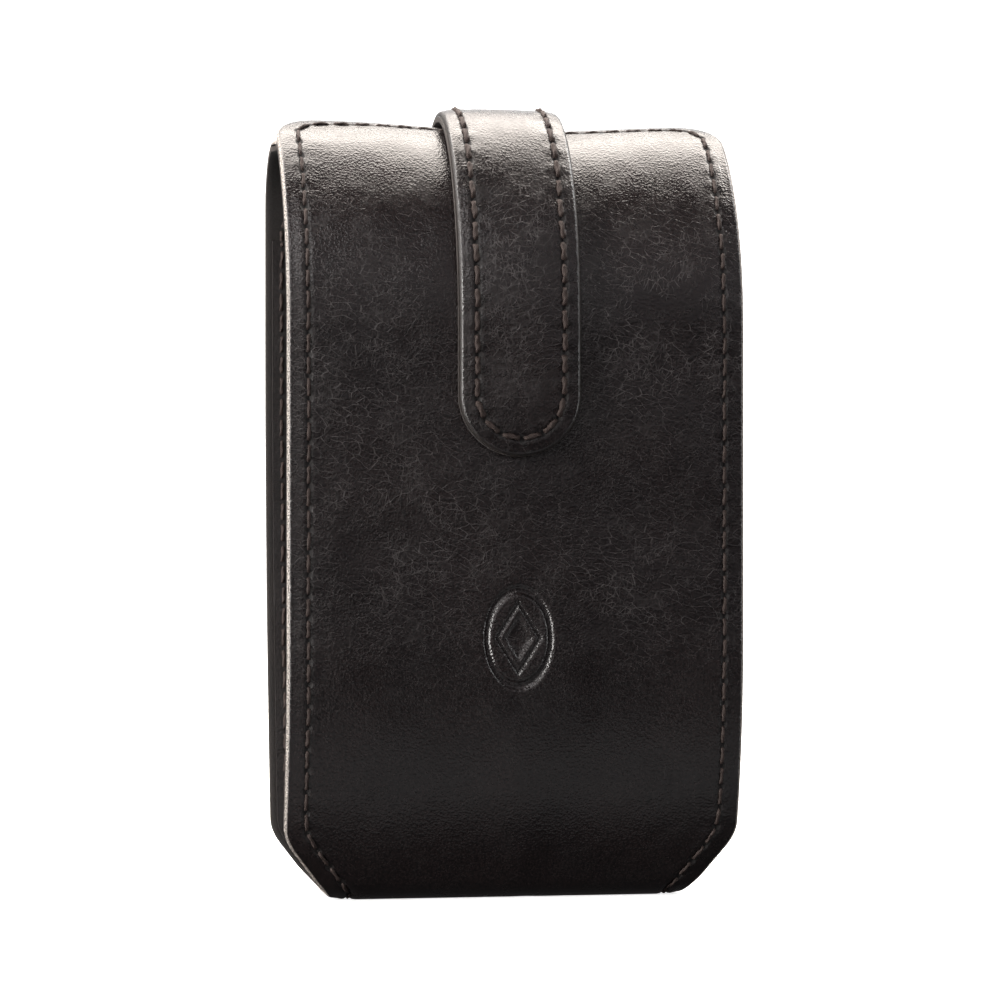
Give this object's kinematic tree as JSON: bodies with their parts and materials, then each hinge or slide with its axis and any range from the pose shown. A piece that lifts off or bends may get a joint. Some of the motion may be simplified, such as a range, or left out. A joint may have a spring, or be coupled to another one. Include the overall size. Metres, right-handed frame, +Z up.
{
  "type": "leather travel case",
  "caption": "Slim upright dark brown leather case with a wrap-over top, gusseted sides, chamfered lower corners and a magnetic strap over the top.",
  "frame": {"origin": "middle of the flat base that the case stands on", "axes": "+Z up towards the mouth, -Y towards the front panel, +X to the right as the front is seen"},
  "size_m": [0.089, 0.0453, 0.1547],
  "materials": {
    "outer_leather": "satin, finely grained",
    "strap_leather": "satin, finely grained",
    "gusset_leather": "matt, soft",
    "lining": "matt",
    "thread": "waxed thread",
    "board": "pressed fibre board",
    "magnet": "nickel plated"
  },
  "bodies": {
    "case": {"outer_wrap": "outer_leather", "wrap_lining": "lining", "front_board": "board", "back_board": "board", "front_magnet": "magnet", "left_gusset": "gusset_leather", "right_gusset": "gusset_leather", "left_gusset_hem": "gusset_leather", "right_gusset_hem": "gusset_leather", "left_seam_thread": "thread", "right_seam_thread": "thread", "strap_anchor_leather": "strap_leather", "strap_anchor_lining": "strap_leather", "strap_anchor_thread": "thread"},
    "front_lip": {"front_lip_leather": "outer_leather", "front_lip_lining": "lining", "front_lip_thread": "thread"},
    "back_lip": {"back_lip_leather": "outer_leather", "back_lip_lining": "lining", "back_lip_thread": "thread"},
    "strap_bridge": {"strap_bridge_leather": "strap_leather", "strap_bridge_lining": "strap_leather", "strap_bridge_thread": "thread"},
    "strap_tongue": {"strap_tongue_leather": "strap_leather", "closure_pad": "strap_leather", "strap_tongue_thread": "thread", "strap_magnet": "magnet"}
  },
  "joints": [
    {"name": "strap_swing", "type": "hinge", "parent": "case", "child": "strap_bridge", "pos_m": [0, 0.0234, 0.133], "axis": [1, 0, 0], "range_deg": [-150, 0]},
    {"name": "tongue_peel", "type": "hinge", "parent": "strap_bridge", "child": "strap_tongue", "pos_m": [0, -0.02077, 0.12274], "axis": [1, 0, 0], "range_deg": [-75, 0]},
    {"name": "front_lip_fold", "type": "hinge", "parent": "case", "child": "front_lip", "pos_m": [0, -0.01449, 0.13201], "axis": [1, 0, 0], "range_deg": [0, 48]},
    {"name": "back_lip_fold", "type": "hinge", "parent": "case", "child": "back_lip", "pos_m": [0, 0.0205, 0.133], "axis": [1, 0, 0], "range_deg": [-54, 0]}
  ],
  "couplings": [
    {"joint": "front_lip_fold", "follows": "strap_swing", "ratio": -0.32},
    {"joint": "back_lip_fold", "follows": "strap_swing", "ratio": 0.36}
  ]
}
